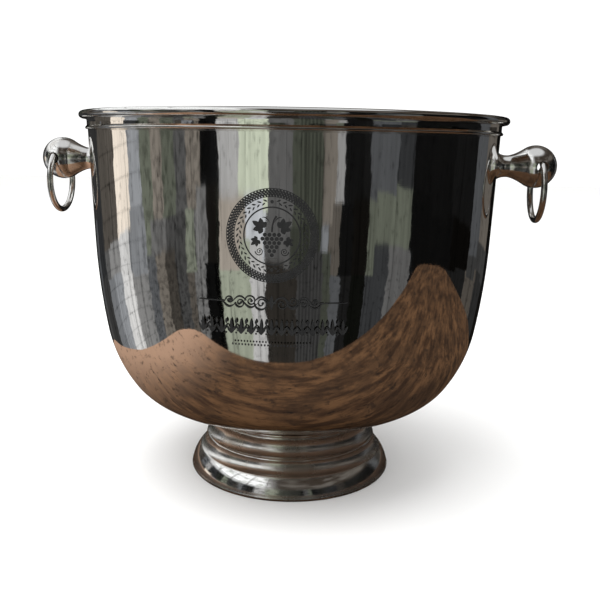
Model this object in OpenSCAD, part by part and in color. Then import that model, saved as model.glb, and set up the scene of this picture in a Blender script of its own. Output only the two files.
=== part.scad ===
// Two-handled champagne bucket: a spun bowl on a spun pedestal foot, with a cast knob on each side
// that carries a free-swinging ring. Millimetres, +Z up, handles along X, front towards -Y,
// origin at the centre of the surface that the foot stands on.

/* [Bowl] */
// Diameter over the rolled rim
rim_d = 400; // [340:1:480]
// Height from the table to the top of the rim
bucket_h = 350; // [300:1:420]
// Thickness of the spun sheet
sheet_t = 1.2; // [0.8:0.1:2]
// Diameter of the rolled rim bead
bead_d = 6.6; // [5.6:0.1:9]
// How far the wall stands inside the rim's edge
wall_inset = 7.6; // [6.5:0.1:12]
// Height of the band between the wall and the bead's centre
band_h = 12.6; // [10:0.1:20]
// How far the band's lower ridge stands out from the wall
band_proud = 2.2; // [1:0.1:3]
// How far the band's hollow stands out from the wall
band_hollow = 0.7; // [0.3:0.1:1.2]
// Radius of the long curve low on the wall
wall_curve_r = 600; // [400:10:720]
// Radius of the belly
belly_r = 130; // [100:1:150]
// Radius of the turn from belly to underside
knuckle_r = 60; // [40:1:70]
// Radius of the flat spot at the bottom's centre
flat_r = 16; // [14:0.5:24]

/* [Foot] */
// Diameter of the foot at its widest
foot_d = 202.4; // [185:0.2:240]
// Height at which the bowl rests on the foot
foot_h = 56; // [50:1:70]
// Diameter of the rolled edge that stands on the table
edge_bead_d = 4.4; // [3.8:0.1:6]
// How much of the rolled edge's underside is flattened where it stands
edge_flat = 0.2; // [0.1:0.05:0.4]
// How far the rounded skirt stands inside the rolled edge
skirt_inset = 0.7; // [0.4:0.1:2]
// Radius of the rounded skirt
skirt_r = 22.9; // [18:0.1:30]
// Height of the skirt's widest point
skirt_z = 2.7; // [2:0.1:5]
// Depth of the lower hollow, above the skirt
lower_hollow = 1.8; // [0.6:0.1:2.6]
// Diameter over the ring between the two hollows
ridge_d = 172; // [160:0.5:176]
// Height of that ring's middle
ridge_z = 33.2; // [30:0.1:36]
// Thickness of that ring
ridge_t = 3.8; // [2.6:0.1:5]
// Diameter of the flange under the bowl
flange_d = 160; // [148:1:166]
// Thickness of the flange
flange_t = 3.2; // [2.4:0.1:4]
// Depth of the upper hollow between ring and flange
upper_hollow = 4.4; // [3:0.1:6]

/* [Foot fixing] */
// Thread diameter of the foot's bolt
bolt_d = 8; // [6:1:10]
// Diameter of the bolt's domed head
bolt_head_d = 17; // [14:0.5:20]
// Height of the bolt's head
bolt_head_h = 4.4; // [3:0.1:6]
// Width of the nuts across their flats
nut_af = 13; // [12:0.5:17]
// Height of the nuts
nut_h = 6.5; // [5:0.1:8]
// Diameter of the flat washer under the foot plate
washer_d = 24; // [20:0.5:28]
// Thickness of the metal washers
washer_t = 1.8; // [1.2:0.1:2.5]
// Thickness of the sealing washer inside the bowl
seal_t = 1.5; // [1:0.1:2.5]

/* [Handles] */
// How far the knob's axis lies below the bead's centre
handle_drop = 40; // [34:0.5:60]
// Distance from the wall to the ball's centre
knob_reach = 37.9; // [34:0.1:48]
// Diameter of the ball
ball_d = 40; // [37:0.5:46]
// How far the ball's flat face lies inside its centre
ball_face = 10.6; // [9:0.1:12]
// Diameter of the neck at its narrowest
neck_d = 20.4; // [18:0.2:24]
// Distance from the wall to the neck's narrowest point
neck_waist = 11.6; // [9:0.1:14]
// Diameter of the neck's flared base
neck_base_d = 29; // [26:0.5:36]
// Diameter of the register between neck and ball
spigot_d = 14; // [10:0.5:18]
// Length of that register
spigot_l = 1.5; // [1:0.1:2]
// Thread diameter of the handle stud
stud_d = 8; // [6:1:10]
// Length of stud inside the neck
stud_grip = 20; // [14:0.5:24]
// Diameter of the saddle washer inside the wall
saddle_d = 24; // [20:0.5:30]
// Thickness of the saddle washer at its centre
saddle_t = 2; // [1.5:0.1:3]

/* [Rings] */
// Wire diameter of the rings
ring_wire_d = 5.8; // [4.6:0.1:6.4]
// Diameter of a ring along the middle of its wire
ring_d = 58; // [54:0.5:66]
// How far a hanging ring's centre lies below its hinge axis
ring_drop = 21.4; // [20:0.1:24]
// How far the eye lies outside the ball's centre
eye_out = 3.5; // [0:0.1:5]
// Diameter of the eye's mouth
eye_d = 10.8; // [10:0.1:14]
// Space between a ring and the inside of its eye
ring_clear = 0.4; // [0.3:0.05:0.8]

/* [Fits] */
// Radial clearance of a bolt in a plain hole
hole_clear = 0.4; // [0.2:0.05:1]
// Radial clearance of a thread or a register
thread_clear = 0.05; // [0.02:0.01:0.1]

/* [Hidden] */
$fn = 96;
silver = "silver";
steel = "darkgray";
rubber = "dimgray";
arc_n = 9;
// How far a cutting tool runs past what it cuts
over = 1;

// ---- plain geometry helpers ----
function arc(c, r, a0, a1, n = arc_n) =
    [for (i = [0:n]) let (a = a0 + (a1 - a0) * i / n) [c[0] + r * cos(a), c[1] + r * sin(a)]];
// Centre of the arc through p and q whose middle lies s to the left of the chord from p to q
function bulge_r(p, q, s) = (pow(norm(q - p) / 2, 2) + s * s) / (2 * s);
function bulge_c(p, q, s) =
    let (m = (p + q) / 2, u = (q - p) / norm(q - p), r = bulge_r(p, q, s)) m + [u[1], -u[0]] * (r - s);
// Direction from c to p, from 0 to 360 degrees
function bearing(c, p) = let (a = atan2(p[1] - c[1], p[0] - c[0])) a < 0 ? a + 360 : a;

// ---- bowl: four tangent arcs and a nearly upright wall ----
rim_r = rim_d / 2;
bead_r = bead_d / 2;
bead_c = [rim_r - bead_r, bucket_h - bead_r];
wire_r = bead_r - sheet_t;
wall_r = rim_r - wall_inset;
step_z = bead_c[1] - band_h;
underside_a = 22;
knuckle_a = 55;
belly_a = 80;
wall_a = 88;
arcs_out = knuckle_r * (sin(knuckle_a) - sin(underside_a)) + belly_r * (sin(belly_a) - sin(knuckle_a))
    + wall_curve_r * (sin(wall_a) - sin(belly_a));
arcs_up = knuckle_r * (cos(underside_a) - cos(knuckle_a)) + belly_r * (cos(knuckle_a) - cos(belly_a))
    + wall_curve_r * (cos(belly_a) - cos(wall_a));
flare = tan(90 - wall_a);
underside_r = (wall_r - flat_r - arcs_out - (step_z - foot_h - arcs_up) * flare)
    / (sin(underside_a) - (1 - cos(underside_a)) * flare);
c0 = [flat_r, foot_h + underside_r];
c1 = c0 + (underside_r - knuckle_r) * [sin(underside_a), -cos(underside_a)];
c2 = c1 + (knuckle_r - belly_r) * [sin(knuckle_a), -cos(knuckle_a)];
c3 = c2 + (belly_r - wall_curve_r) * [sin(belly_a), -cos(belly_a)];
// The bowl's surface from the flat spot up to the foot of the band, moved inwards by t
function skin(t) = concat(
    arc(c0, underside_r - t, -90, underside_a - 90),
    arc(c1, knuckle_r - t, underside_a - 90, knuckle_a - 90),
    arc(c2, belly_r - t, knuckle_a - 90, belly_a - 90),
    arc(c3, wall_curve_r - t, belly_a - 90, wall_a - 90),
    [[wall_r - t / sin(wall_a), step_z]]);
function wall_at(z) = wall_r - (step_z - z) * flare;
// The bowl's underside from its flat spot outwards, and its height at radius r
bottom = arc(c0, underside_r, -90, underside_a - 90);
function underside_z(r) = lookup(r, bottom);

ridge_half = 1.3;
roll_in = bead_c[0] - bead_r;
hollow_r = wall_r + band_hollow;
// Shares of the band's height where its hollow starts and ends outside, and starts inside
hollow_from = 0.38;
hollow_to = 0.55;
hollow_within = 0.45;
hollow_lean = 0.2;
// Shares of the bead's radius below its centre where the sheet turns into the roll
roll_outside = 0.9;
roll_within = 0.7;
band_outer = concat(
    arc([wall_r + band_proud - ridge_half, step_z + ridge_half], ridge_half, -60, 50, 6),
    [[hollow_r, step_z + band_h * hollow_from],
     [hollow_r + hollow_lean, step_z + band_h * hollow_to],
     [roll_in + sheet_t, bead_c[1] - bead_r * roll_outside],
     [roll_in + sheet_t, bead_c[1]]]);
band_inner = [
    [roll_in, bead_c[1]],
    [roll_in, bead_c[1] - bead_r * roll_within],
    [hollow_r - sheet_t, step_z + band_h * hollow_within]];

// Length of the drilling through the wall for a handle stud
drill_l = 16;
module bowl_solid(t) {
    rotate_extrude($fn = 360)
        polygon(concat([[0, foot_h + t]], skin(t), [[wall_r - t / sin(wall_a), bucket_h], [0, bucket_h]]));
}

module bowl() {
    color(silver)
    difference() {
        rotate_extrude()
            difference() {
                union() {
                    polygon(concat([[0, foot_h]], skin(0), band_outer, band_inner,
                        [for (i = [len(skin(0)) - 1:-1:0]) skin(sheet_t)[i]], [[0, foot_h + sheet_t]]));
                    translate(bead_c) circle(r = bead_r);
                }
                translate(bead_c) circle(r = wire_r);
            }
        translate([0, 0, foot_h - over]) cylinder(r = bolt_d / 2 + hole_clear, h = sheet_t + 2 * over);
        for (side = [0, 180])
            rotate([0, 0, side]) translate([handle_wall - drill_l / 2, 0, handle_z]) rotate([0, 90, 0])
                cylinder(r = stud_d / 2 + hole_clear, h = drill_l);
    }
}

module rim_wire() {
    color(steel) rotate_extrude() translate(bead_c) circle(r = wire_r);
}

// ---- foot: a spun shell whose top follows the bowl's underside ----
foot_r = foot_d / 2;
edge_r = edge_bead_d / 2;
edge_sheet = sheet_t * 0.85;
edge_wire_r = edge_r - edge_sheet;
edge_c = [foot_r - edge_r, edge_r - edge_flat];
// Where the sheet runs into the roll, as shares of the rolled edge's radius
edge_in = 0.3;
edge_up = 0.8;
edge_top = 0.5;
skirt_c = [foot_r - skirt_inset - skirt_r, skirt_z];
// The skirt's arc in degrees above outwards, and how much later it starts inside
skirt_low = 5;
skirt_high = 51;
skirt_start = 3;
skirt_top = skirt_c + skirt_r * [cos(skirt_high), sin(skirt_high)];
shoulder = 0.8;
ridge_c = [(ridge_d - ridge_t) / 2, ridge_z];
cove_low = skirt_top + [-shoulder, shoulder / 3];
sink = 0.1;
cove_high = ridge_c - [0, ridge_t / 2 - sink];
seat_in = 12;
seat_r = flange_d / 2 - seat_in;
flange_drop = 2.2;
flange_c = [(flange_d - flange_t) / 2, underside_z(seat_r) - flange_t - flange_drop];
tuck = 0.4;
hollow_low = ridge_c + [-tuck, ridge_t / 2];
hollow_high = flange_c - [tuck, flange_t / 2];
// The plate that carries the bowl, t below the bowl's underside
function plate(t) = concat([[seat_r, underside_z(seat_r) - t]],
    [for (i = [len(bottom) - 1:-1:0]) if (bottom[i][0] < seat_r) bottom[i] - [0, t]]);
// A hollow s deep from p up to q, its surface moved t towards the axis
function hollow(p, q, s, t, n) = let (c = bulge_c(p, q, s))
    arc(c, bulge_r(p, q, s) + t, bearing(c, p), bearing(c, q), n);
function lower_arc(t) = hollow(cove_low, cove_high, lower_hollow, t, 6);
function upper_arc(t) = hollow(hollow_low, hollow_high, upper_hollow, t, 10);
foot_outer = concat(
    [[0, edge_c[1] + edge_r * edge_top], edge_c + [0, edge_r * edge_top]],
    arc(skirt_c, skirt_r, skirt_low, skirt_high, 12),
    lower_arc(0),
    arc(ridge_c, ridge_t / 2, -50, 70, 6),
    upper_arc(0),
    arc(flange_c, flange_t / 2, -60, 90, 7),
    plate(0), [[0, foot_h]]);
foot_inner = concat(
    [[0, -over], [edge_c[0] - edge_r * edge_in, -over], edge_c + edge_r * [-edge_in, edge_up]],
    arc(skirt_c, skirt_r - sheet_t, skirt_low + skirt_start, skirt_high, 10),
    lower_arc(sheet_t),
    upper_arc(sheet_t),
    plate(sheet_t), [[0, foot_h - sheet_t]]);

module foot() {
    color(silver)
    difference() {
        rotate_extrude()
            difference() {
                union() {
                    difference() {
                        polygon(foot_outer);
                        polygon(foot_inner);
                    }
                    translate(edge_c) circle(r = edge_r);
                }
                translate(edge_c) circle(r = edge_wire_r);
                translate([0, -edge_bead_d]) square([foot_r, edge_bead_d]);
            }
        translate([0, 0, foot_h - sheet_t - over])
            cylinder(r = bolt_d / 2 + hole_clear, h = sheet_t + 2 * over);
    }
}

module foot_edge_wire() {
    color(steel) rotate_extrude() translate(edge_c) circle(r = edge_wire_r);
}

// ---- the bolt that clamps the foot to the bowl ----
head_z = foot_h + sheet_t + seal_t;
bolt_end = 2;
bolt_low = foot_h - sheet_t - washer_t - nut_h - bolt_end;
slot_w = 1.6;
slot_depth = 1.4;
head_trim = 0.2;
seal_margin = 2;
module foot_bolt() {
    dome_r = (pow(bolt_head_d / 2, 2) + pow(bolt_head_h, 2)) / (2 * bolt_head_h);
    color(steel)
    difference() {
        union() {
            translate([0, 0, bolt_low]) cylinder(d = bolt_d, h = head_z - bolt_low + over);
            intersection() {
                translate([0, 0, head_z + bolt_head_h - dome_r]) sphere(r = dome_r);
                translate([0, 0, head_z]) cylinder(d = bolt_head_d - head_trim, h = bolt_head_h + over);
            }
        }
        translate([-bolt_head_d, -slot_w / 2, head_z + bolt_head_h - slot_depth])
            cube([2 * bolt_head_d, slot_w, slot_depth + over]);
    }
}

module flat_ring(outer_d, inner_d, h) {
    difference() {
        cylinder(d = outer_d, h = h);
        translate([0, 0, -over]) cylinder(d = inner_d, h = h + 2 * over);
    }
}

module foot_seal_washer() {
    color(rubber) translate([0, 0, foot_h + sheet_t]) flat_ring(bolt_head_d + 2 * seal_margin, bolt_d, seal_t);
}

module foot_washer() {
    color(steel) translate([0, 0, foot_h - sheet_t - washer_t])
        flat_ring(washer_d, bolt_d + 2 * hole_clear, washer_t);
}

module foot_nut() {
    color(steel)
    translate([0, 0, foot_h - sheet_t - washer_t - nut_h])
    difference() {
        cylinder(d = nut_af / cos(30), h = nut_h, $fn = 6);
        translate([0, 0, -over]) cylinder(d = bolt_d + 2 * thread_clear, h = nut_h + 2 * over);
    }
}

// ---- handles: everything is drawn on the right, then turned about Z for the left ----
handle_z = bead_c[1] - handle_drop;
handle_wall = wall_at(handle_z);
inner_wall = handle_wall - sheet_t / sin(wall_a);
ball_r = ball_d / 2;
ball_x = handle_wall + knob_reach;
face_x = ball_x - ball_face;
eye_x = ball_x + eye_out;
stud_end = handle_wall + stud_grip;
nut_x = inner_wall - saddle_t;
dome_in = 0.2;
dome_sunk = 1;
nut_dome_r = nut_af / 2 - dome_in;
stud_end_out = 1;
stud_start = nut_x - nut_h - stud_end_out;

module on_side(left) {
    if (left) mirror([1, 0, 0]) children();
    else children();
}

// A solid of revolution about the handle's axis, which points outwards along X
module along_handle() {
    translate([0, 0, handle_z]) rotate([0, 90, 0]) rotate_extrude() children();
}

root_depth = 3;
neck_root = handle_wall - root_depth;
waist_x = handle_wall + neck_waist;
// The neck ends flush with the edge of the ball's flat face
neck_end_r = sqrt(pow(ball_r, 2) - pow(ball_face, 2)) - thread_clear;
flare_power = 2.6;
cup_power = 1.5;
neck_n = 10;
neck_curve = concat(
    [for (i = [0:neck_n]) let (u = i / neck_n) [
        neck_d / 2 + (neck_base_d - neck_d) / 2 * pow(1 - u, flare_power), handle_wall + neck_waist * u]],
    [for (i = [1:neck_n]) let (u = i / neck_n) [
        neck_d / 2 + (neck_end_r - neck_d / 2) * pow(u, cup_power), waist_x + (face_x - waist_x) * u]]);
module knob_neck(left) {
    color(silver)
    on_side(left)
    difference() {
        along_handle()
            polygon(concat([[0, neck_root], [neck_base_d / 2, neck_root]], neck_curve,
                [[spigot_d / 2, face_x], [spigot_d / 2, face_x + spigot_l], [0, face_x + spigot_l]]));
        bowl_solid(0);
        translate([neck_root - over, 0, handle_z]) rotate([0, 90, 0])
            cylinder(r = stud_d / 2 + thread_clear, h = stud_end - neck_root + over);
    }
}

cavity_r = ring_d / 2 + ring_wire_d / 2 + ring_clear;
core_r = ring_d / 2 - ring_wire_d / 2 - ring_clear;
eye_end = ball_r + over;
eye_n = 12;
// Half width that the swinging ring needs at distance y from the ball's middle
function swept(y) = max(eye_d / 2, sqrt(max(pow(cavity_r, 2) - y * y, 0)) - ring_drop,
    ring_drop - sqrt(max(pow(core_r, 2) - y * y, 0)));
module eye_cavity() {
    translate([eye_x, 0, handle_z]) rotate([90, 0, 0]) rotate_extrude()
        polygon(concat([[0, -eye_end]],
            [for (i = [-eye_n:eye_n]) let (y = eye_end * i / eye_n) [swept(y), y]],
            [[0, eye_end]]));
}

module knob_ball(left) {
    color(silver)
    on_side(left)
    difference() {
        along_handle()
            polygon(concat([[0, face_x]], arc([0, ball_x], ball_r, -asin(ball_face / ball_r), 90, 24)));
        translate([face_x - over, 0, handle_z]) rotate([0, 90, 0])
            cylinder(r = spigot_d / 2 + thread_clear, h = spigot_l + over);
        eye_cavity();
    }
}

module ring(left) {
    color(silver)
    on_side(left)
    translate([eye_x, 0, handle_z - ring_drop]) rotate([0, 90, 0])
        rotate_extrude() translate([ring_d / 2, 0]) circle(d = ring_wire_d);
}

module handle_stud(left) {
    color(steel)
    on_side(left)
    translate([stud_start, 0, handle_z]) rotate([0, 90, 0]) cylinder(d = stud_d, h = stud_end - stud_start);
}

module handle_washer(left) {
    color(steel)
    on_side(left)
    intersection() {
        translate([nut_x, 0, handle_z]) rotate([0, 90, 0])
            flat_ring(saddle_d, stud_d + 2 * hole_clear, saddle_t + 2 * over);
        bowl_solid(sheet_t);
    }
}

module handle_nut(left) {
    color(steel)
    on_side(left)
    translate([nut_x, 0, handle_z]) rotate([0, -90, 0])
    difference() {
        union() {
            cylinder(d = nut_af / cos(30), h = nut_h, $fn = 6);
            intersection() {
                translate([0, 0, nut_h - dome_sunk]) sphere(r = nut_dome_r);
                translate([0, 0, nut_h - dome_sunk]) cylinder(r = nut_dome_r + over, h = nut_dome_r + over);
            }
        }
        translate([0, 0, -over]) cylinder(r = stud_d / 2 + thread_clear, h = nut_h + 2 * over);
    }
}

bowl();
rim_wire();
foot();
foot_edge_wire();
foot_bolt();
foot_seal_washer();
foot_washer();
foot_nut();
knob_neck(true);  // left_knob_neck
knob_neck(false);  // right_knob_neck
knob_ball(true);  // left_knob_ball
knob_ball(false);  // right_knob_ball
ring(true);  // left_ring
ring(false);  // right_ring
handle_stud(true);  // left_handle_stud
handle_stud(false);  // right_handle_stud
handle_washer(true);  // left_handle_washer
handle_washer(false);  // right_handle_washer
handle_nut(true);  // left_handle_nut
handle_nut(false);  // right_handle_nut
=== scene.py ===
# Two-handled champagne bucket in polished silver plate: a spun bowl on a spun pedestal foot, with a
# cast knob on each side that carries a free-swinging ring, and etched ornament on the front.
import math
import random

import bmesh
import bpy
from mathutils import Matrix, Vector


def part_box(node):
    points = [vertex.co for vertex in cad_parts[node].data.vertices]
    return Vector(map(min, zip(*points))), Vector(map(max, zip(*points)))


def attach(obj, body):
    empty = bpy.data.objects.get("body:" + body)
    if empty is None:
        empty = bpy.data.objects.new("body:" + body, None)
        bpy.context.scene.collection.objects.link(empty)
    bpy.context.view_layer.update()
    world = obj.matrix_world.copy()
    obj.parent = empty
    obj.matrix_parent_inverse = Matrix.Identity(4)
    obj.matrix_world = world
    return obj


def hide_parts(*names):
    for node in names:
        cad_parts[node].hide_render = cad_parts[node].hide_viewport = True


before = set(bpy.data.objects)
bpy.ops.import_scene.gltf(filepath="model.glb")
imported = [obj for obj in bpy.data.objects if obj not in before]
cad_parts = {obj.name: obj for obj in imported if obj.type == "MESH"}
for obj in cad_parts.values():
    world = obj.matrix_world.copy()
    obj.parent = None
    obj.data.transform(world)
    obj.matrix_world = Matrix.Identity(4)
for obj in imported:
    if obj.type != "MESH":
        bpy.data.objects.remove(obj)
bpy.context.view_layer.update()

MM = 0.001
TURN = 2 * math.pi

# ---- sizes in millimetres, the same as the solids' ----
bowl_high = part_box("bowl")[1]
RIM_R = bowl_high.x / MM
BUCKET_H = bowl_high.z / MM
SHEET_T = 1.2
BEAD_R = 3.3
BEAD = (RIM_R - BEAD_R, BUCKET_H - BEAD_R)
WALL_R = RIM_R - 7.6
STEP_Z = BEAD[1] - 12.6
FLAT_R = 16
FOOT_H = 56
UNDERSIDE_A, KNUCKLE_A, BELLY_A, WALL_A = 22, 55, 80, 88
KNUCKLE_R, BELLY_R, CURVE_R = 60, 130, 600
FLARE = math.tan(math.radians(90 - WALL_A))
BOLT_HOLE_R = 4.4
HANDLE_Z = BEAD[1] - 40
EDGE = (99.0, 2.0)
EDGE_R = 2.2
SKIRT = (66.5, -3.0)
SKIRT_R = 34.8
SKIRT_LOW_A, SKIRT_TOP_A = 12, 43
RIDGE = (84.1, 33.2)
RIDGE_R = 1.9
FLANGE_R = 1.6
SEAT_R = 68


def along(angle, radius):
    """A step of that length in the turning plane, at that many degrees above outwards."""
    return (radius * math.cos(math.radians(angle)), radius * math.sin(math.radians(angle)))


def arc(centre, radius, start, end, count):
    """Points on an arc in the turning plane, from start to end degrees."""
    turned_by = [start + (end - start) * i / count for i in range(count + 1)]
    return [(centre[0] + along(a, radius)[0], centre[1] + along(a, radius)[1]) for a in turned_by]


def tangent_centre(centre, shrink, angle):
    """The centre of the arc that carries on smoothly from another one at that angle."""
    step = along(angle - 90, shrink)
    return (centre[0] + step[0], centre[1] + step[1])


def underside_radius():
    """The bottom's big radius, which makes the arcs meet the wall at the foot of the band."""
    steps = ((KNUCKLE_R, UNDERSIDE_A, KNUCKLE_A), (BELLY_R, KNUCKLE_A, BELLY_A), (CURVE_R, BELLY_A, WALL_A))
    out = 0
    up = 0
    for radius, start, end in steps:
        a = math.radians(start)
        b = math.radians(end)
        out += radius * (math.sin(b) - math.sin(a))
        up += radius * (math.cos(a) - math.cos(b))
    rise = STEP_Z - FOOT_H - up
    first = math.radians(UNDERSIDE_A)
    return (WALL_R - FLAT_R - out - rise * FLARE) / (math.sin(first) - (1 - math.cos(first)) * FLARE)


UNDERSIDE_R = underside_radius()
C0 = (FLAT_R, FOOT_H + UNDERSIDE_R)
C1 = tangent_centre(C0, UNDERSIDE_R - KNUCKLE_R, UNDERSIDE_A)
C2 = tangent_centre(C1, KNUCKLE_R - BELLY_R, KNUCKLE_A)
C3 = tangent_centre(C2, BELLY_R - CURVE_R, BELLY_A)


def skin(inset):
    """The bowl's surface from the edge of its flat spot to the foot of the band, moved in by inset."""
    points = arc(C0, UNDERSIDE_R - inset, -90, UNDERSIDE_A - 90, 20)
    points += arc(C1, KNUCKLE_R - inset, UNDERSIDE_A - 90, KNUCKLE_A - 90, 12)[1:]
    points += arc(C2, BELLY_R - inset, KNUCKLE_A - 90, BELLY_A - 90, 16)[1:]
    points += arc(C3, CURVE_R - inset, BELLY_A - 90, WALL_A - 90, 12)[1:]
    top = (WALL_R - inset / math.sin(math.radians(WALL_A)), STEP_Z)
    last = points[-1]
    for i in range(1, 9):
        points.append((last[0] + (top[0] - last[0]) * i / 8, last[1] + (top[1] - last[1]) * i / 8))
    return points


def wall_at(z):
    """The wall's outside radius at that height."""
    return WALL_R - (STEP_Z - z) * FLARE


def underside_z(r):
    """Height of the bowl's underside at that radius."""
    return C0[1] - math.sqrt(UNDERSIDE_R ** 2 - max(r - FLAT_R, 0) ** 2)


def ease(t):
    """A smooth step from 0 to 1."""
    t = min(max(t, 0), 1)
    return t * t * (3 - 2 * t)


# ---- mesh making ----
def turned(outline, steps, closed=True):
    """A shape spun about Z from half an outline of (radius, height) points in millimetres."""
    bm = bmesh.new()
    verts = [bm.verts.new((r * MM, 0, z * MM)) for r, z in outline]
    edges = [bm.edges.new(pair) for pair in zip(verts, verts[1:])]
    if closed:
        edges.append(bm.edges.new((verts[-1], verts[0])))
    bmesh.ops.spin(bm, geom=verts + edges, cent=(0, 0, 0), axis=(0, 0, 1), angle=TURN, steps=steps,
                   use_merge=True)
    bmesh.ops.remove_doubles(bm, verts=bm.verts[:], dist=1e-7)
    bmesh.ops.recalc_face_normals(bm, faces=bm.faces[:])
    return bm


def piece(name, bm, finish, sharp=40):
    """A finished object made from a bmesh, smooth except along edges sharper than that many degrees."""
    mesh = bpy.data.meshes.new(name)
    bm.to_mesh(mesh)
    bm.free()
    for face in mesh.polygons:
        face.use_smooth = True
    mesh.set_sharp_from_angle(angle=math.radians(sharp))
    mesh.materials.append(finish)
    made = bpy.data.objects.new(name, mesh)
    bpy.context.scene.collection.objects.link(made)
    return made


def fit_to_body(made, body, slot, *nodes):
    """Hangs the piece on its body and hides the solids that it replaces. The slot argument is not used."""
    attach(made, body)
    if nodes:
        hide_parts(*nodes)


# ---- shader maths ----
class Wire:
    """An output socket. Arithmetic on it adds Math nodes."""

    def __init__(self, tree, socket):
        self.tree = tree
        self.socket = socket

    def sum(self, operation, *values):
        return self.tree.add("ShaderNodeMath", {"operation": operation}, dict(enumerate(values)))

    def __add__(self, other):
        return self.sum("ADD", self, other)

    def __radd__(self, other):
        return self.sum("ADD", other, self)

    def __sub__(self, other):
        return self.sum("SUBTRACT", self, other)

    def __rsub__(self, other):
        return self.sum("SUBTRACT", other, self)

    def __mul__(self, other):
        return self.sum("MULTIPLY", self, other)

    def __rmul__(self, other):
        return self.sum("MULTIPLY", other, self)

    def __truediv__(self, other):
        return self.sum("DIVIDE", self, other)

    def __pow__(self, other):
        return self.sum("POWER", self, other)


class Tree:
    """A material's or the world's nodes."""

    def __init__(self, owner):
        owner.use_nodes = True
        self.nodes = owner.node_tree.nodes
        self.links = owner.node_tree.links
        self.nodes.clear()

    def add(self, kind, settings=None, values=None, out=0):
        """A node with its settings made first, then the values or links of its sockets."""
        node = self.nodes.new(kind)
        for key, value in (settings or {}).items():
            if key == "stops":
                self.set_stops(node.color_ramp, value)
            elif key == "blend":
                node.color_ramp.interpolation = value
            else:
                setattr(node, key, value)
        for key, value in (values or {}).items():
            if isinstance(value, Wire):
                self.links.new(value.socket, node.inputs[key])
            else:
                node.inputs[key].default_value = value
        return Wire(self, node.outputs[out]) if len(node.outputs) else node

    def set_stops(self, ramp, stops):
        while len(ramp.elements) < len(stops):
            ramp.elements.new(1.0)
        for element, (at, colour) in zip(ramp.elements, stops):
            element.position = at
            element.color = colour

    def mix(self, factor, a, b, mode="MIX"):
        """One colour into another."""
        settings = {"data_type": "RGBA", "blend_type": mode}
        return self.add("ShaderNodeMix", settings, {0: factor, 6: a, 7: b}, 2)

    def place(self):
        """Object coordinates."""
        return self.add("ShaderNodeTexCoord", out=3)

    def apart(self, vector, axis):
        """One number of a vector: 0, 1 or 2."""
        return self.add("ShaderNodeSeparateXYZ", None, {0: vector}, axis)

    def stretched(self, vector, scale):
        """The vector with each of its numbers scaled."""
        return self.add("ShaderNodeVectorMath", {"operation": "MULTIPLY"}, {0: vector, 1: scale})

    def noise(self, vector, scale, detail=3, rough=0.5):
        """Cloudy variation from 0 to 1."""
        return self.add("ShaderNodeTexNoise", None,
                        {"Vector": vector, "Scale": scale, "Detail": detail, "Roughness": rough})

    def step(self, value, low, high):
        """0 below low, 1 above high, smooth between."""
        return self.add("ShaderNodeMapRange", {"interpolation_type": "SMOOTHSTEP"},
                        {"Value": value, "From Min": low, "From Max": high})

    def creases(self, height, bands, soft):
        """1 at the heights between each pair, 0 elsewhere, fading over soft metres."""
        total = 0
        for low, high in bands:
            total = self.step(height, low - soft, low) * (1 - self.step(height, high, high + soft)) + total
        return total

    def surface(self, values, bump):
        """A Principled surface with that bump under it."""
        values = dict(values, Normal=bump)
        shader = self.add("ShaderNodeBsdfPrincipled", None, values)
        self.add("ShaderNodeOutputMaterial", None, {"Surface": shader})

    def bump(self, height, strength, distance, under=None):
        """A surface bump that is that many metres deep at full strength."""
        values = {"Height": height, "Strength": strength, "Distance": distance}
        if under is not None:
            values["Normal"] = under
        return self.add("ShaderNodeBump", None, values)


def grey(value, warm=0.0):
    """A neutral colour, warmed a little."""
    return (value * (1 + warm), value, value * (1 - warm), 1)


def new_tree(name):
    material = bpy.data.materials.new(name)
    return material, Tree(material)


def polished_silver(name, creases):
    """Hand-polished plate: a near mirror with soft waves, fine scratches and brown in its creases."""
    material, tree = new_tree(name)
    place = tree.place()
    height = tree.apart(place, 2)
    waves = tree.noise(place, 9, 2)
    ripples = tree.noise(tree.stretched(place, (1, 1, 0.35)), 42, 2)
    cloth = tree.noise(tree.stretched(place, (1, 1, 6)), 160, 4, 0.6)
    scratches = tree.step(tree.noise(tree.stretched(place, (60, 60, 900)), 1.0, 2), 0.68, 0.8)
    smears = tree.step(tree.noise(place, 22, 4, 0.6), 0.45, 0.75)
    crease_brown = tree.creases(height, creases, 0.0012) * tree.step(tree.noise(place, 90, 5, 0.65), 0.3, 0.7)
    colour = tree.mix(smears * 0.25, (0.93, 0.92, 0.90, 1), (0.84, 0.82, 0.79, 1))
    colour = tree.mix(crease_brown * 0.6, colour, (0.40, 0.335, 0.26, 1))
    rough = 0.022 + smears * 0.03 + cloth * 0.02 + scratches * 0.05 + crease_brown * 0.16
    soft = tree.bump(waves, 0.35, 0.0011)
    fine = tree.bump(ripples, 0.20, 0.00012, soft)
    drawn = tree.bump(cloth + scratches * 0.6, 0.10, 0.00002, fine)
    tree.surface({"Base Color": colour, "Roughness": rough, "Metallic": 1.0}, drawn)
    return material


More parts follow.
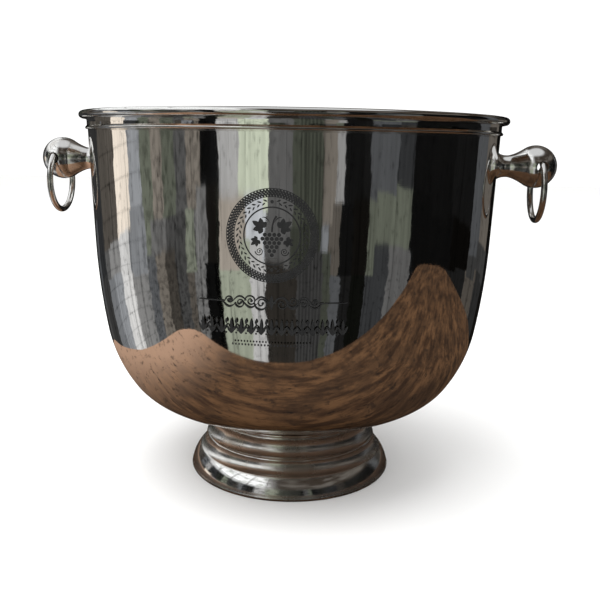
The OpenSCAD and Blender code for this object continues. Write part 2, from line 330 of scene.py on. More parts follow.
def foot_silver(name, creases):
    """The foot's plate: duller than the bowl, rubbed in rings, with brown in the hollows that is part
    tarnish and part painted reflection of the brown board.
    """
    material, tree = new_tree(name)
    place = tree.place()
    height = tree.apart(place, 2)
    rings = tree.noise(tree.stretched(place, (1, 1, 16)), 70, 4, 0.6)
    cloud = tree.noise(place, 34, 5, 0.6)
    blotch = tree.step(cloud, 0.44, 0.66)
    specks = tree.step(tree.noise(place, 300, 4, 0.65), 0.62, 0.74)
    crease_brown = tree.creases(height, creases, 0.0022)
    colour = tree.mix(blotch * 0.4, (0.95, 0.94, 0.92, 1), (0.80, 0.775, 0.73, 1))
    # Brown in the hollows: part tarnish, part painted reflection of the brown board.
    colour = tree.mix(crease_brown * (0.15 + blotch * 0.45), colour, (0.50, 0.42, 0.33, 1))
    colour = tree.mix(specks * 0.35, colour, (0.26, 0.22, 0.18, 1))
    rough = 0.055 + rings * 0.06 + blotch * 0.07 + crease_brown * 0.14
    dents = tree.bump(tree.noise(place, 30, 2), 0.4, 0.0009)
    rubbed = tree.bump(rings + specks * -0.4, 0.25, 0.00006, dents)
    tree.surface({"Base Color": colour, "Roughness": rough, "Metallic": 1.0}, rubbed)
    return material


def cast_silver(name):
    """Cast and plated silver: softer than the sheet, with small pits and a brown bloom."""
    material, tree = new_tree(name)
    place = tree.place()
    cloud = tree.noise(place, 60, 4, 0.6)
    pits = tree.step(tree.noise(place, 420, 3, 0.6), 0.66, 0.78)
    wear = tree.step(cloud, 0.42, 0.7)
    colour = tree.mix(wear, (0.93, 0.92, 0.90, 1), (0.76, 0.73, 0.69, 1))
    colour = tree.mix(pits * 0.6, colour, (0.28, 0.24, 0.20, 1))
    rough = 0.11 + wear * 0.09 + pits * 0.15
    swell = tree.bump(tree.noise(place, 45, 2), 0.3, 0.0006)
    grain = tree.bump(pits * -1 + cloud * 0.4, 0.3, 0.00007, swell)
    tree.surface({"Base Color": colour, "Roughness": rough, "Metallic": 1.0}, grain)
    return material


def steel_fixings(name):
    """Turned steel: fine rings from the lathe and a dull grey shine."""
    material, tree = new_tree(name)
    place = tree.place()
    lathe = tree.noise(tree.stretched(place, (1, 1, 14)), 260, 3)
    cloud = tree.noise(place, 120, 4)
    colour = tree.mix(cloud, (0.62, 0.62, 0.61, 1), (0.43, 0.42, 0.41, 1))
    rough = 0.24 + cloud * 0.2
    tree.surface({"Base Color": colour, "Roughness": rough, "Metallic": 1.0}, tree.bump(lathe, 0.3, 0.00005))
    return material


def steel_wire(name):
    """Drawn wire inside the rolled edges, slightly rusty."""
    material, tree = new_tree(name)
    place = tree.place()
    rust = tree.step(tree.noise(place, 150, 5, 0.65), 0.5, 0.65)
    colour = tree.mix(rust, (0.42, 0.41, 0.40, 1), (0.23, 0.11, 0.055, 1))
    tree.surface({"Base Color": colour, "Roughness": 0.35 + rust * 0.4, "Metallic": 1 - rust * 0.7},
                 tree.bump(rust, 0.4, 0.0001))
    return material


def seal_rubber(name):
    """Black moulded rubber with a bloom on it."""
    material, tree = new_tree(name)
    place = tree.place()
    bloom = tree.noise(place, 180, 5, 0.6)
    colour = tree.mix(bloom, (0.018, 0.018, 0.019, 1), (0.06, 0.058, 0.055, 1))
    tree.surface({"Base Color": colour, "Roughness": 0.55 + bloom * 0.25},
                 tree.bump(bloom, 0.35, 0.0001))
    return material


def etched_metal(name):
    """The bitten pattern: dark, matt and slightly uneven."""
    material, tree = new_tree(name)
    place = tree.place()
    cloud = tree.noise(place, 140, 4, 0.6)
    grain = tree.noise(place, 1500, 2)
    colour = tree.mix(cloud, (0.006, 0.0065, 0.007, 1), (0.022, 0.022, 0.022, 1))
    tree.surface({"Base Color": colour, "Roughness": 0.4 + cloud * 0.15, "Specular IOR Level": 0.35},
                 tree.bump(grain, 0.4, 0.00005))
    return material


BOWL_SILVER = polished_silver("bowl_silver", [(0.3332, 0.3346), (0.3432, 0.3452)])
FOOT_SILVER = foot_silver("foot_silver", [(0.0030, 0.0048), (0.0205, 0.0300), (0.0358, 0.0500)])
CAST_SILVER = cast_silver("cast_silver")
STEEL = steel_fixings("steel_fixings")
WIRE_STEEL = steel_wire("steel_wire")
RUBBER = seal_rubber("seal_rubber")
ETCHED = etched_metal("etched_metal")


# ---- bowl ----
def bowl_outline():
    outside = [(BOLT_HOLE_R, FOOT_H)] + skin(0)
    ridge = arc((WALL_R + 0.9, STEP_Z + 1.3), 1.3, -60, 55, 8)
    low = STEP_Z + 2.35
    high = BEAD[1] - 2.05
    hollow = []
    for i in range(1, 9):
        u = i / 8
        hollow.append((WALL_R + 0.78 + 0.92 * u ** 5, low + (high - low) * u))
    roll = arc(BEAD, BEAD_R - 0.03, 220, 538, 44)
    inside_top = BEAD[1] - 1.2
    inside = []
    for i in range(11):
        z = inside_top + (STEP_Z + 1 - inside_top) * i / 10
        inside.append((WALL_R - SHEET_T + 2.2 * ease((z - STEP_Z) / 11), z))
    return outside + ridge + hollow + roll + inside + skin(SHEET_T)[::-1] + [(BOLT_HOLE_R, FOOT_H + SHEET_T)]


def make_bowl():
    made = piece("spun_bowl", turned(bowl_outline(), 240), BOWL_SILVER, 38)
    fit_to_body(made, "bucket", "polished_silver", "bowl")


# ---- foot ----
def bowed(start, end, depth, thicker, count):
    """A hollow that deep from start up to end, its surface moved that much towards the axis."""
    chord = math.dist(start, end)
    radius = (chord ** 2 / 4 + depth ** 2) / (2 * depth)
    run = ((end[0] - start[0]) / chord, (end[1] - start[1]) / chord)
    off = radius - depth
    hub = ((start[0] + end[0]) / 2 + run[1] * off, (start[1] + end[1]) / 2 - run[0] * off)
    first = math.degrees(math.atan2(start[1] - hub[1], start[0] - hub[0])) % 360
    last = math.degrees(math.atan2(end[1] - hub[1], end[0] - hub[0])) % 360
    return arc(hub, radius + thicker, first, last, count)


def foot_outline():
    flange = (78.4, underside_z(SEAT_R) - 5.4)
    rolled = [(r, max(z, 0)) for r, z in arc(EDGE, EDGE_R, 150, 394, 28)]
    skirt = arc(SKIRT, SKIRT_R, SKIRT_LOW_A, SKIRT_TOP_A, 30)
    shoulder = (skirt[-1][0] - 0.8, skirt[-1][1] + 0.27)
    cove = (shoulder, (RIDGE[0], RIDGE[1] - RIDGE_R + 0.1), 1.8)
    ring = arc(RIDGE, RIDGE_R, -50, 70, 12)
    waist = ((RIDGE[0] - 0.4, RIDGE[1] + RIDGE_R), (flange[0] - 0.4, flange[1] - FLANGE_R), 4.4)
    edge = arc(flange, FLANGE_R, -60, 100, 12)
    radii = [SEAT_R + (FLAT_R - SEAT_R) * i / 10 for i in range(11)]
    seat = [(r, underside_z(r) - 0.03) for r in radii] + [(BOLT_HOLE_R, FOOT_H - 0.03)]
    under_seat = [(r, underside_z(r) - SHEET_T) for r in radii[::-1]]
    inner_waist = bowed(*waist, SHEET_T, 12)[::-1]
    inner_cove = bowed(*cove, SHEET_T, 6)[::-1]
    inner_skirt = arc(SKIRT, SKIRT_R - SHEET_T, SKIRT_TOP_A, SKIRT_LOW_A + 2, 16)
    return (rolled + skirt + bowed(*cove, 0, 12) + ring + bowed(*waist, 0, 20) + edge + seat
            + [(BOLT_HOLE_R, FOOT_H - SHEET_T)] + under_seat + inner_waist + inner_cove + inner_skirt)


def make_foot():
    made = piece("spun_foot", turned(foot_outline(), 200), FOOT_SILVER, 38)
    fit_to_body(made, "bucket", "polished_silver", "foot")


# ---- handles, drawn on the right and turned about Z for the left ----
HANDLE_WALL = wall_at(HANDLE_Z)
BALL_R = 20
BALL_X = HANDLE_WALL + 37.9
FACE_BACK = 10.6
FACE_X = BALL_X - FACE_BACK
WAIST_X = HANDLE_WALL + 11.6
EYE_X = BALL_X + 3.5
RING_R = 29
RING_WIRE_R = 2.9
RING_DROP = 21.4
EYE_R = 5.4
CAVITY_R = RING_R + RING_WIRE_R + 0.4
MOUTH_Y = 18.0
MOUTH_DEEP = 4.0
MOUTH_WORN = 1.6
NECK_R, NECK_BASE_R, NECK_BALL_R = 10.2, 14.5, 16.9
TO_SIDE = {"right": Matrix.Identity(4), "left": Matrix.Rotation(math.pi, 4, "Z")}
OUTWARDS = Matrix.Rotation(math.pi / 2, 4, "Y")


def lay_outwards(bm, x=0.0, z=HANDLE_Z):
    """Lays a shape that was spun about Z along X instead, at that place."""
    bmesh.ops.transform(bm, matrix=Matrix.Translation((x * MM, 0, z * MM)) @ OUTWARDS, verts=bm.verts[:])


def to_side(bm, side):
    bmesh.ops.transform(bm, matrix=TO_SIDE[side], verts=bm.verts[:])


def knob_outline():
    """One flowing line from the flared base, over the waist, onto the ball."""
    lip = [(0, HANDLE_WALL - 0.4), (NECK_BASE_R - 1.0, HANDLE_WALL - 0.4)]
    lip.append((NECK_BASE_R - 0.1, HANDLE_WALL - 0.2))
    base = []
    for i in range(19):
        u = 0.02 + 0.98 * i / 18
        swell = (NECK_BASE_R - NECK_R) * (1 - u) ** 2.6
        base.append((NECK_R + swell, HANDLE_WALL + (WAIST_X - HANDLE_WALL) * u))
    cup = []
    for i in range(1, 19):
        u = i / 18
        cup.append((NECK_R + (NECK_BALL_R - NECK_R) * u ** 1.5, WAIST_X + (FACE_X - WAIST_X) * u))
    ball = arc((0, BALL_X), BALL_R, -math.degrees(math.asin(FACE_BACK / BALL_R)) + 1.5, 90, 56)
    return lip + base + cup + ball[:-1] + [(0, BALL_X + BALL_R)]


def eye_cutter():
    """The barrel-shaped eye, wide enough inside for the ring to swing, with a worn mouth."""
    half = []
    for i in range(13):
        y = MOUTH_Y * i / 12
        half.append((max(math.sqrt(CAVITY_R ** 2 - y * y) - RING_DROP, EYE_R), y))
    for i in range(1, 9):
        y = MOUTH_Y + MOUTH_DEEP * i / 8
        half.append((EYE_R + MOUTH_WORN * ((y - MOUTH_Y) / MOUTH_DEEP) ** 2, y))
    end = MOUTH_Y + MOUTH_DEEP
    outline = [(0, -end)] + [(r, -y) for r, y in half[::-1]][:-1] + half + [(0, end)]
    bm = turned(outline, 64, closed=False)
    lie = Matrix.Translation((EYE_X * MM, 0, HANDLE_Z * MM)) @ Matrix.Rotation(math.pi / 2, 4, "X")
    bmesh.ops.transform(bm, matrix=lie, verts=bm.verts[:])
    return bm


def make_knob(side):
    bm = turned(knob_outline(), 128, closed=False)
    lay_outwards(bm)
    for vert in bm.verts:
        hold = 1 - ease((vert.co.x / MM - HANDLE_WALL) / 7)
        wall = math.sqrt(max(wall_at(vert.co.z / MM) ** 2 - (vert.co.y / MM) ** 2, 0))
        vert.co.x += hold * (wall - HANDLE_WALL) * MM
    solid = piece(side + "_cast_knob", bm, CAST_SILVER, 180)
    cutter = piece(side + "_eye_cutter", eye_cutter(), CAST_SILVER, 180)
    cut = solid.modifiers.new("eye", "BOOLEAN")
    cut.operation = "DIFFERENCE"
    cut.solver = "EXACT"
    cut.object = cutter
    shaped = bpy.data.meshes.new_from_object(solid.evaluated_get(bpy.context.evaluated_depsgraph_get()))
    bpy.data.objects.remove(cutter)
    bpy.data.objects.remove(solid)
    bm = bmesh.new()
    bm.from_mesh(shaped)
    to_side(bm, side)
    bmesh.ops.remove_doubles(bm, verts=bm.verts[:], dist=1e-6)
    made = piece(side + "_cast_knob", bm, CAST_SILVER, 32)
    fit_to_body(made, "bucket", "cast_silver", side + "_knob_neck", side + "_knob_ball")


BRAZE_AT = 152
BRAZE_DEEP = 0.05
BRAZE_WIDE = 1.1


def make_ring(side):
    """A ring bent from round wire, its ends brazed together near the top."""
    bm = turned(arc((RING_R, 0), RING_WIRE_R, 0, 345, 23), 180)
    for vert in bm.verts:
        away = math.degrees(math.atan2(vert.co.y, vert.co.x)) - BRAZE_AT
        groove = BRAZE_DEEP * math.exp(-(away / BRAZE_WIDE) ** 2)
        centre = Vector((vert.co.x, vert.co.y, 0)).normalized() * RING_R * MM
        vert.co = centre + (vert.co - centre) * (1 - groove)
    lay_outwards(bm, EYE_X, HANDLE_Z - RING_DROP)
    to_side(bm, side)
    made = piece(side + "_wire_ring", bm, CAST_SILVER, 60)
    fit_to_body(made, side + "_ring_body", "cast_silver", side + "_ring")


NUT_ACROSS = 13
NUT_HIGH = 6.5
NUT_CHAMFER = 0.45
DOME_R = 6.2
DOME_Z = 5.5


def make_cap_nut(side):
    """A domed cap nut inside the wall, its corners chamfered."""
    bm = bmesh.new()
    corner = NUT_ACROSS * MM / 2 / math.cos(math.pi / 6)
    bmesh.ops.create_circle(bm, cap_ends=True, segments=6, radius=corner)
    lifted = bmesh.ops.extrude_face_region(bm, geom=bm.faces[:])
    risen = [v for v in lifted["geom"] if isinstance(v, bmesh.types.BMVert)]
    bmesh.ops.translate(bm, vec=(0, 0, NUT_HIGH * MM), verts=risen)
    bmesh.ops.recalc_face_normals(bm, faces=bm.faces[:])
    bmesh.ops.bevel(bm, geom=bm.edges[:], offset=NUT_CHAMFER * MM, segments=2, profile=0.5, affect="EDGES",
                    material=-1)
    bmesh.ops.translate(bm, vec=(0, 0, 0.02 * MM), verts=bm.verts[:])
    base = [(0, DOME_Z - 1), (DOME_R, DOME_Z - 1)]
    dome = turned(base + arc((0, DOME_Z), DOME_R, 0, 88, 14) + [(0, DOME_Z + DOME_R)], 48, closed=False)
    cap = bpy.data.meshes.new("cap")
    dome.to_mesh(cap)
    dome.free()
    bm.from_mesh(cap)
    nut_x = HANDLE_WALL - SHEET_T / math.sin(math.radians(WALL_A)) - 2
    inwards = Matrix.Translation((nut_x * MM, 0, HANDLE_Z * MM)) @ Matrix.Rotation(-math.pi / 2, 4, "Y")
    bmesh.ops.transform(bm, matrix=inwards, verts=bm.verts[:])
    to_side(bm, side)
    made = piece(side + "_cap_nut", bm, STEEL, 35)
    fit_to_body(made, "bucket", "steel_fixings", side + "_handle_nut")


# ---- etched ornament: drawn flat in millimetres, X across and Z up, then wrapped on the wall ----
ETCH_PROUD = 0.05
ETCH_THICK = 0.09
MEDAL_Z = 257


def band(bm, inner, outer, centre=(0, 0), steps=120):
    """A flat ring."""
    start = [bm.verts.new((centre[0] + r, 0, centre[1])) for r in (inner, outer)]
    edge = bm.edges.new(start)
    bmesh.ops.spin(bm, geom=start + [edge], cent=(centre[0], 0, centre[1]), axis=(0, 1, 0), angle=TURN,
                   steps=steps, use_merge=True)


def petal(bm, centre, length, width, angle=0.0, steps=12, point=1.0):
    """A flat pointed oval, its long way at that many degrees from across."""
    made = bmesh.ops.create_circle(bm, cap_ends=True, segments=steps, radius=1)["verts"]
    for vert in made:
        u, v = vert.co.x, vert.co.y
        vert.co = (u * length / 2, v * width / 2 * (1 - abs(u) ** 2 * 0.55 * point), 0)
    turn = Matrix.Rotation(math.radians(angle), 4, "Z")
    stand = Matrix.Rotation(math.pi / 2, 4, "X")
    bmesh.ops.transform(bm, matrix=Matrix.Translation((centre[0], 0, centre[1])) @ stand @ turn, verts=made)


def ribbon(bm, points, widths):
    """A flat stroke along a line of points, as wide at each as its width says."""
    ends = None
    for i, (u, v) in enumerate(points):
        before = points[max(i - 1, 0)]
        after = points[min(i + 1, len(points) - 1)]
        run = math.dist(before, after)
        out = Vector((-(after[1] - before[1]) / run, 0, (after[0] - before[0]) / run)) * widths[i] / 2
        places = (Vector((u, 0, v)) + out, Vector((u, 0, v)) - out)
        if ends is None:
            ends = [bm.verts.new(place) for place in places]
            bm.edges.new(ends)
            continue
        grown = bmesh.ops.extrude_edge_only(bm, edges=[bm.edges.get(ends)])["geom"]
        near = ends[0].co.copy()
        new_verts = [g for g in grown if isinstance(g, bmesh.types.BMVert)]
        ends = sorted(new_verts, key=lambda v: (v.co - near).length)
        for vert, place in zip(ends, places):
            vert.co = place


def curl(bm, centre, radius, start, turns, width):
    """A spiral stroke that thins towards its middle."""
    count = 30
    points = []
    widths = []
    for i in range(count + 1):
        t = i / count
        a = math.radians(start + 360 * turns * t)
        r = radius * (1 - 0.82 * t)
        points.append((centre[0] + r * math.cos(a), centre[1] + r * math.sin(a)))
        widths.append(width * (1 - 0.5 * t))
    ribbon(bm, points, widths)
    petal(bm, points[-1], width * 1.8, width * 1.8, 0, 8, 0)


def wave_stroke(bm, start, end, height, width):
    """A swelling stroke from start to end that bows to one side."""
    points = []
    widths = []
    for i in range(17):
        t = i / 16
        bow = height * math.sin(math.pi * t)
        points.append((start[0] + (end[0] - start[0]) * t, start[1] + (end[1] - start[1]) * t + bow))
        widths.append(width * (0.25 + 0.75 * math.sin(math.pi * t)))
    ribbon(bm, points, widths)


def wrap_on_wall(bm, name):
    for vert in bm.verts:
        radius = wall_at(vert.co.z) + ETCH_PROUD
        angle = vert.co.x / WALL_R
        vert.co = (radius * math.sin(angle) * MM, -radius * math.cos(angle) * MM, vert.co.z * MM)
    bm.normal_update()
    bmesh.ops.reverse_faces(bm, faces=[f for f in bm.faces if f.normal.y > 0])
    bmesh.ops.solidify(bm, geom=bm.faces[:], thickness=ETCH_THICK * MM)
    made = piece(name, bm, ETCHED, 30)
    fit_to_body(made, "bucket", "etched_metal")


def around(radius, degrees):
    return (radius * math.sin(math.radians(degrees)), MEDAL_Z + radius * math.cos(math.radians(degrees)))


def make_border():
    """Knurled border: staggered rows of small lozenges between two lines."""
    bm = bmesh.new()
    centre = (0, MEDAL_Z)
    band(bm, 34.9, 35.5, centre)
    band(bm, 28.9, 29.4, centre)
    for radius, shift in ((30.3, 0.0), (31.6, 0.5), (32.9, 0.0), (34.1, 0.5)):
        for i in range(86):
            degrees = (i + shift) * 360 / 86
            petal(bm, around(radius, degrees), 2.7, 1.85, 90 - degrees + 24, 6, 0.3)
    wrap_on_wall(bm, "etched_border")


def make_wreath():
    """Laurel leaves between the border and an inner line."""
    bm = bmesh.new()
    centre = (0, MEDAL_Z)
    band(bm, 20.9, 22.0, centre)
    for side in (-1, 1):
        for i in range(17):
            degrees = side * (11 + i * 9.9)
            lean = 90 - degrees + 90
            petal(bm, around(26.7, degrees), 3.6, 1.35, lean + side * 32, 10)
            petal(bm, around(24.4, degrees + side * 4.0), 3.2, 1.25, lean - side * 32, 10)
    petal(bm, around(25.5, 0), 2.8, 2.8, 45, 8, 0)
    petal(bm, around(25.5, 180), 2.8, 2.8, 45, 8, 0)
    wrap_on_wall(bm, "etched_wreath")


def vine_leaf(bm, centre, size, angle):
    """A five-lobed leaf made of overlapping ovals."""
    lobes = ((0, 1.0), (48, 0.82), (-48, 0.82), (98, 0.62), (-98, 0.62))
    for turn, reach in lobes:
        a = math.radians(angle + turn)
        out = size * reach * 0.42
        middle = (centre[0] + math.cos(a) * out, centre[1] + math.sin(a) * out)
        petal(bm, middle, size * reach, size * 0.46, angle + turn, 12, 0.9)


def make_grapes():
    """A bunch of grapes with vine leaves, tendrils and a stalk."""
    bm = bmesh.new()
    for row, count in enumerate((4, 5, 4, 3, 2, 1)):
        for i in range(count):
            u = (i - (count - 1) / 2) * 3.6
            petal(bm, (u, MEDAL_Z + 1.0 - row * 3.05), 3.1, 3.1, 0, 14, 0)
    stalk = [(0, MEDAL_Z + 3), (0.4, MEDAL_Z + 8), (1.5, MEDAL_Z + 12), (3.4, MEDAL_Z + 15)]
    ribbon(bm, stalk, [1.5, 1.2, 1.2, 1.6])
    for side in (-1, 1):
        vine_leaf(bm, (side * 7.6, MEDAL_Z + 6.4), 9.4, 90 - side * 58)
        vine_leaf(bm, (side * 11.4, MEDAL_Z - 3.4), 6.4, 90 - side * 128)
        curl(bm, (side * 9.6, MEDAL_Z - 11.6), 3.2, 90 - side * 90, -side * 1.6, 0.8)
        wave_stroke(bm, (side * 1.5, MEDAL_Z + 10.0), (side * 7.6, MEDAL_Z + 13.8), 1.6, 0.9)
    wrap_on_wall(bm, "etched_grapes")


def make_flourish():
    """A running scroll between two fine rules, below the medallion."""
    bm = bmesh.new()
    level = 206
    for side in (-1, 1):
        ribbon(bm, [(side * (42 + 17.5 * i / 5), level) for i in range(6)], [0.75] * 6)
        for i, size in enumerate((5.6, 4.6, 4.0, 3.1)):
            u = side * (8.0 + i * 8.6)
            flip = 1 if i % 2 else -1
            curl(bm, (u, level + flip * 0.9), size, 180, side * flip * 1.5, 1.15)
            wave_stroke(bm, (u - side * 5.4, level - flip), (u + side * 6.6, level + flip), flip * -4.2, 1.3)
        petal(bm, (side * 39.4, level), 4.6, 1.5, 0, 10)
    petal(bm, (0, level + 0.2), 11.5, 3.2, 90, 12)
    petal(bm, (0, level + 0.2), 7.5, 2.0, 0, 12)
    wrap_on_wall(bm, "etched_flourish")


def make_frieze():
    """A row of upright leaves with lozenges between their tips, and a row of dots under it."""
    bm = bmesh.new()
    level = 186.7
    for i in range(-7, 8):
        u = i * 8.1
        for lean, reach, wide in ((0, 12.6, 2.6), (30, 8.2, 2.1), (-30, 8.2, 2.1)):
            a = math.radians(90 + lean)
            base = (u, level - 6.3)
            middle = (base[0] + math.cos(a) * reach / 2, base[1] + math.sin(a) * reach / 2)
            petal(bm, middle, reach, wide, 90 + lean, 12)
        if i < 7:
            petal(bm, (u + 4.05, level + 3.6), 4.6, 2.2, 90, 8, 0.9)
            petal(bm, (u + 4.05, level - 5.4), 1.7, 1.7, 45, 8, 0)
    for i in range(-12, 13):
        petal(bm, (i * 2.6, 172.4), 1.5, 1.9, 0, 8, 0)
    wrap_on_wall(bm, "etched_frieze")


make_bowl()
make_foot()
for hand in ("left", "right"):
    make_knob(hand)
    make_ring(hand)
    make_cap_nut(hand)
make_border()
make_wreath()
make_grapes()
make_flourish()
make_frieze()

# ---- finishes for the solids that stay in view ----
SOLID_FINISH = {
    "rim_wire": WIRE_STEEL, "foot_edge_wire": WIRE_STEEL, "foot_bolt": STEEL, "foot_washer": STEEL,
    "foot_nut": STEEL, "foot_seal_washer": RUBBER, "left_handle_stud": STEEL, "right_handle_stud": STEEL,
    "left_handle_washer": STEEL, "right_handle_washer": STEEL,
}
for node, finish in SOLID_FINISH.items():
    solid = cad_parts[node]
    solid.data.materials.clear()
    solid.data.materials.append(finish)


# ---- studio ----
def only_seen_by_shine(thing):
    """Shows in reflections and nowhere else."""
    thing.visible_camera = False
    thing.visible_diffuse = False
    thing.visible_transmission = False
    thing.visible_volume_scatter = False
    thing.visible_shadow = False


def flat_sheet(name, low, high, z, finish):
    bm = bmesh.new()
    bmesh.ops.create_grid(bm, x_segments=1, y_segments=1, size=0.5)
    size = Vector((high[0] - low[0], high[1] - low[1], 1))
    bmesh.ops.scale(bm, vec=size, verts=bm.verts[:])
    bmesh.ops.translate(bm, vec=((low[0] + high[0]) / 2, (low[1] + high[1]) / 2, z), verts=bm.verts[:])
    made = piece(name, bm, finish)
    return made


def pale_floor():
    material, tree = new_tree("pale_floor")
    cloud = tree.noise(tree.place(), 3, 2)
    colour = tree.mix(cloud, (0.90, 0.90, 0.895, 1), (0.93, 0.93, 0.925, 1))
    tree.surface({"Base Color": colour, "Roughness": 0.9}, tree.bump(cloud, 0.05, 0.0005))
    return material


def timber():
    """The oiled board that the silver mirrors from below: brown heartwood with splits and dark patches, and
    a painted glint of daylight that makes its left end paler.
    """
    material, tree = new_tree("oiled_board")
    place = tree.place()
    grain = tree.noise(tree.stretched(place, (3, 12, 1)), 3.2, 8, 0.7)
    patches = tree.noise(tree.stretched(place, (1, 1.4, 1)), 7, 6, 0.66)
    splits = tree.step(tree.noise(tree.stretched(place, (9, 34, 1)), 2.1, 7, 0.74), 0.585, 0.625)
    knots = tree.step(tree.noise(place, 26, 6, 0.72), 0.56, 0.63)
    colour = tree.mix(tree.step(grain, 0.38, 0.60), (0.030, 0.0145, 0.0070, 1), (0.098, 0.049, 0.0215, 1))
    colour = tree.mix(tree.step(patches, 0.44, 0.56) * 0.5, colour, (0.022, 0.012, 0.007, 1))
    # Painted glint of daylight: the board is made paler towards its left end.
    painted_daylight_glint = 1 - tree.step(tree.apart(place, 0), -0.40, -0.12)
    colour = tree.mix(painted_daylight_glint * 0.8, colour, (0.32, 0.20, 0.135, 1))
    colour = tree.mix(knots * 0.6, colour, (0.012, 0.008, 0.006, 1))
    colour = tree.mix(splits * 0.8, colour, (0.006, 0.0045, 0.0035, 1))
    tree.surface({"Base Color": colour, "Roughness": 0.6, "Specular IOR Level": 0.12},
                 tree.bump(grain, 0.3, 0.001))
    return material


BOARD_LEFT, BOARD_RIGHT = -0.42, 1.2
BOARD_FRONT, BOARD_BACK = -0.4, 0.35
BOARD_SAWN = 0.7
BOARD_SAWN_DEEP = 0.35
BOARD_WORN = 0.12


def lay_board():
    """A board with one corner sawn off and the others worn round, just above the floor."""
    corners = (
        (BOARD_LEFT, BOARD_BACK), (BOARD_LEFT, BOARD_FRONT), (BOARD_RIGHT, BOARD_FRONT),
        (BOARD_RIGHT, BOARD_BACK - BOARD_SAWN_DEEP), (BOARD_RIGHT - BOARD_SAWN, BOARD_BACK),
    )
    bm = bmesh.new()
    bm.faces.new([bm.verts.new((x, y, 0.0003)) for x, y in corners])
    bmesh.ops.bevel(bm, geom=bm.verts[:], offset=BOARD_WORN, segments=6, profile=0.5, affect="VERTICES",
                    material=-1)
    board = piece("board", bm, timber())
    only_seen_by_shine(board)


floor = flat_sheet("floor", (-6, -6), (6, 6), 0, pale_floor())
floor.visible_glossy = False
lay_board()


def soft_light(name, place, aim, size, power):
    lamp = bpy.data.lights.new(name, "AREA")
    lamp.shape = "RECTANGLE"
    lamp.size = size[0]
    lamp.size_y = size[1]
    lamp.energy = power
    made = bpy.data.objects.new(name, lamp)
    made.location = place
    made.rotation_euler = (Vector(aim) - Vector(place)).to_track_quat("-Z", "Y").to_euler()
    made.visible_glossy = False
    bpy.context.scene.collection.objects.link(made)


soft_light("overhead_softbox", (-0.6, -0.5, 2.4), (0, 0, 0.1), (2.2, 2.2), 55)
soft_light("front_fill", (0.8, -2.4, 1.4), (0, 0, 0.2), (1.6, 1.2), 10)

# ---- the room that the silver mirrors ----
# Upright stretches round it: (from this azimuth in degrees, how pale)
PLASTER, STONE, SLATE, GLOOM = 0.80, 0.50, 0.32, 0.11
ROOM = (
    (-180, GLOOM), (-150, SLATE), (-130, STONE), (-110, PLASTER), (-85, STONE), (-70, SLATE), (-55, STONE),
    (-45, GLOOM), (-35, PLASTER), (-10, SLATE), (20, STONE), (30, GLOOM), (45, SLATE), (70, GLOOM),
    (120, SLATE), (150, GLOOM),
)
# Heights where one level of strips gives way to the next, as the sine of the elevation
LOW_TOP, MIDDLE_TOP, HIGH_TOP = -0.225, -0.140, 0.02
NEUTRAL, WARM, LEAFY, COOL = (1, 1, 1), (1.03, 0.98, 0.92), (0.98, 1.02, 0.92), (0.98, 1.0, 1.03)


def linear(colour):
    """The colour as light, from how it looks."""
    return tuple(1.1 * c ** 2.2 for c in colour) + (1,)


def strips(seed, darkest):
    """Two strips for each stretch of the room, their edges, depths and tints drawn at random."""
    pick = random.Random(seed)
    stops = []
    ends = [azimuth for azimuth, shade in ROOM[1:]] + [180]
    for (start, shade), end in zip(ROOM, ends):
        for share in (0, pick.uniform(0.35, 0.65)):
            azimuth = max(start + (end - start) * share + pick.uniform(-1.5, 1.5), -180)
            depth = shade * pick.uniform(darkest, 1.15)
            tint = pick.choice((NEUTRAL, NEUTRAL, WARM, LEAFY, COOL))
            stops.append(((azimuth + 180) / 360, linear(tuple(depth * t for t in tint))))
    return stops


def uneven_steps(seed):
    """Grey steps of different heights round the room, the same each run."""
    pick = random.Random(seed)
    return [(i / 30, grey(pick.random())) for i in range(30)]


def within(tree, value, low, high):
    """1 between low and high, 0 outside."""
    return tree.step(value, low - 0.001, low) * (1 - tree.step(value, high, high + 0.001))


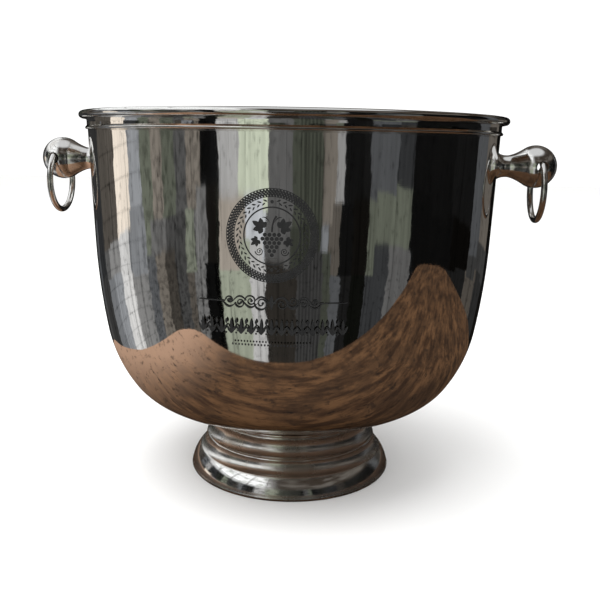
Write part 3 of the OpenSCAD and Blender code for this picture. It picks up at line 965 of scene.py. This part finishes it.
def light_the_room():
    world = bpy.data.worlds.new("studio")
    bpy.context.scene.world = world
    tree = Tree(world)
    way = tree.add("ShaderNodeTexCoord", out=0)
    across = tree.apart(way, 0)
    depth = tree.apart(way, 1)
    rise = tree.apart(way, 2)
    turned_by = across.sum("ARCTAN2", across, depth * -1) / TURN + 0.5

    def spread(wide, high):
        return tree.add("ShaderNodeCombineXYZ", None, {0: turned_by * wide, 1: rise * high})

    def folded(value):
        """0 on evenly spaced lines, up to 0.5 between them."""
        return tree.add("ShaderNodeMath", {"operation": "PINGPONG"}, {0: value, 1: 0.5})

    torn = (tree.noise(spread(46, 22), 1.0, 4, 0.6) - 0.5) * 0.012
    torn = torn + (tree.noise(spread(260, 60), 1.0, 3, 0.7) - 0.5) * 0.005

    def panels(seed, darkest):
        return tree.add("ShaderNodeValToRGB", {"stops": strips(seed, darkest), "blend": "CONSTANT"},
                        {0: turned_by + torn})

    def edge_at(level, seed):
        settings = {"stops": uneven_steps(seed), "blend": "CONSTANT"}
        uneven = tree.add("ShaderNodeValToRGB", settings, {0: turned_by})
        return tree.step(rise + uneven * 0.07 - 0.035 + torn, level - 0.002, level + 0.002)

    room = tree.mix(edge_at(LOW_TOP, 1), panels(11, 0.5), panels(12, 0.6))
    room = tree.mix(edge_at(MIDDLE_TOP, 2), room, panels(13, 0.6))
    shelves = tree.step(tree.noise(spread(64, 26), 1.0, 4, 0.6), 0.50, 0.53) * tree.step(rise, -0.02, 0.05)
    room = tree.mix(edge_at(HIGH_TOP, 3), room, panels(14, 0.2))
    ribs = within(tree, turned_by, 0.523, 0.558) * tree.step(folded(turned_by * 190), 0.1, 0.32)
    joints = within(tree, turned_by, 0.145, 0.262) * (1 - tree.step(folded(rise * 24), 0.0, 0.05))
    leafy = tree.step(tree.noise(spread(150, 60), 1.0, 5, 0.65), 0.50, 0.55)
    leaves = within(tree, turned_by, 0.262, 0.385) * leafy
    stains = tree.step(tree.noise(spread(120, 50), 1.0, 7, 0.72), 0.56, 0.61)
    wires = tree.step(tree.noise(spread(240, 1.5), 1.0, 2), 0.60, 0.63)
    streaks = tree.noise(spread(150, 4), 1.0, 4, 0.65)
    clutter = stains * 0.5 + ribs * 0.5 + joints * 0.5 + leaves * 0.5 + wires * 0.5 + shelves * 0.8
    shade = (0.84 + tree.step(streaks, 0.3, 0.7) * 0.25) * (1 - clutter * 0.8)
    shade_colour = tree.add("ShaderNodeCombineColor", None, {0: shade, 1: shade, 2: shade})
    room = tree.mix(1.0, room, shade_colour, "MULTIPLY")
    ceiling = tree.step(rise, 0.30, 0.42)
    window = tree.step(across * -1, 0.15, 0.45) * (1 - tree.step(rise, 0.86, 0.96))
    window = window * tree.step(folded(turned_by * 16), 0.02, 0.05) * tree.step(folded(rise * 5), 0.02, 0.05)
    view_out = tree.step(tree.noise(spread(30, 12), 1.0, 5, 0.6), 0.32, 0.5)
    panes = tree.mix(view_out, (0.42, 0.45, 0.40, 1), (1.1, 1.12, 1.14, 1))
    beams = tree.step(tree.noise(spread(9, 5), 1.0, 4, 0.6), 0.46, 0.60)
    roof = tree.mix(beams, (0.036, 0.027, 0.020, 1), (0.13, 0.118, 0.105, 1))
    roof = tree.mix(tree.step(rise, 0.80, 0.93), roof, (0.62, 0.63, 0.64, 1))
    room = tree.mix(ceiling, room, tree.mix(window, roof, panes))
    mirrored = tree.add("ShaderNodeBackground", None, {0: room, 1: 1.0})
    soft = tree.add("ShaderNodeBackground", None, {0: (1.0, 0.998, 0.995, 1), 1: 1.12})
    shine = tree.add("ShaderNodeLightPath", out=3)
    both = tree.add("ShaderNodeMixShader", None, {0: shine, 1: soft, 2: mirrored})
    tree.add("ShaderNodeOutputWorld", None, {0: both})


light_the_room()

# ---- camera: straight lens, a little right of the front and just below the rim ----
CAMERA_AZIMUTH = 4.77
CAMERA_AWAY = 0.7508
CAMERA_HEIGHT = 0.325
CAMERA_PITCH = 11.66
CAMERA_ROLL = 1.0
CAMERA_PAN = 0.6
CAMERA_LENS = 45.65

camera = bpy.data.objects.new("camera", bpy.data.cameras.new("camera"))
camera.data.lens = CAMERA_LENS
camera.data.sensor_width = 36
camera.data.clip_start = 0.02
camera.data.clip_end = 50
stand = Matrix.Translation((0, -CAMERA_AWAY, CAMERA_HEIGHT))
stand = Matrix.Rotation(math.radians(CAMERA_AZIMUTH), 4, "Z") @ stand
aim = Matrix.Rotation(math.radians(90 - CAMERA_PITCH), 4, "X")
aim = Matrix.Rotation(math.radians(-CAMERA_PAN), 4, "Z") @ aim
camera.matrix_world = stand @ aim @ Matrix.Rotation(math.radians(CAMERA_ROLL), 4, "Z")
bpy.context.scene.collection.objects.link(camera)
bpy.context.scene.camera = camera
bpy.context.scene.view_settings.view_transform = "Standard"
